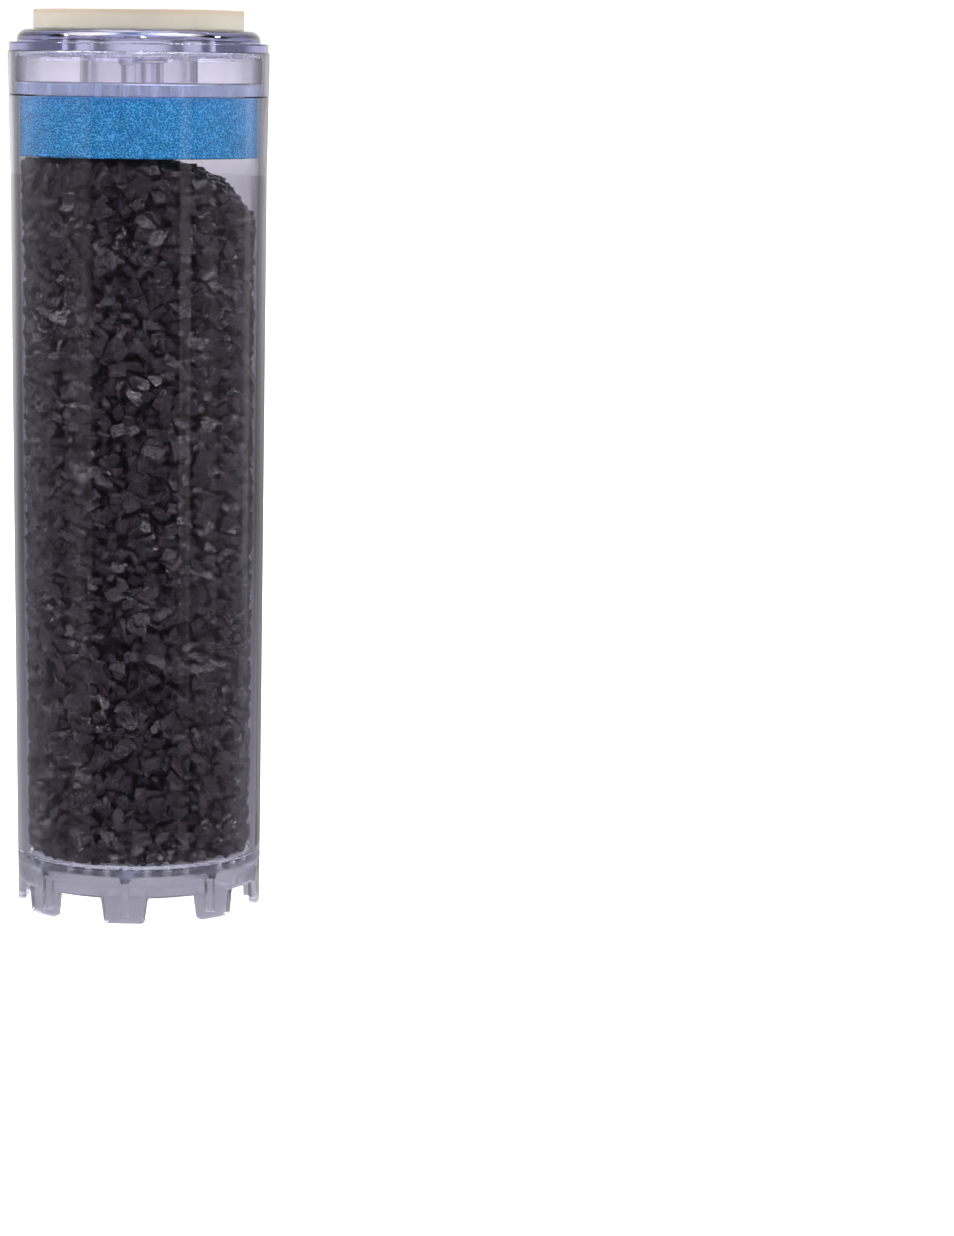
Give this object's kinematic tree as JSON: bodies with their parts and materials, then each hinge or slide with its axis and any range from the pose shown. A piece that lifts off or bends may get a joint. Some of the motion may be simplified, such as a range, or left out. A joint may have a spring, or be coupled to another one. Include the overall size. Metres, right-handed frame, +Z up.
{
  "type": "refillable filter cartridge",
  "caption": "Clear upright canister filled with black granular carbon under a blue foam pad, with notched feet, slotted floor, push-in end cap and flat ring gasket.",
  "frame": {"origin": "centre of the plane that the feet stand on", "axes": "+Z up along the cartridge's axis towards the outlet; one foot lies towards -Y"},
  "size_m": [0.0722, 0.0722, 0.25],
  "materials": {
    "clear_plastic": "clear moulded styrene, polished",
    "strainer_fabric": "fine woven polyester",
    "carbon": "angular granular carbon",
    "blue_foam": "open-cell foam",
    "clear_silicone": "translucent silicone",
    "cream_rubber": "smooth soft rubber"
  },
  "bodies": {
    "canister": {"canister_body": "clear_plastic", "strainer_mesh": "strainer_fabric", "carbon_bed": "carbon"},
    "foam": {"foam_pad": "blue_foam"},
    "grid": {"retainer_grid": "clear_plastic"},
    "cap": {"end_cap": "clear_plastic", "cap_o_ring": "clear_silicone", "top_gasket": "cream_rubber"}
  },
  "joints": [
    {"name": "cap_lift", "type": "slide", "parent": "canister", "child": "cap", "axis": [0, 0, 1], "range_m": [0, 0.09]},
    {"name": "grid_lift", "type": "slide", "parent": "canister", "child": "grid", "axis": [0, 0, 1], "range_m": [0, 0.06]},
    {"name": "foam_lift", "type": "slide", "parent": "canister", "child": "foam", "axis": [0, 0, 1], "range_m": [0, 0.03]}
  ],
  "couplings": [
    {"joint": "grid_lift", "follows": "cap_lift", "ratio": 0.6666},
    {"joint": "foam_lift", "follows": "cap_lift", "ratio": 0.3333}
  ]
}
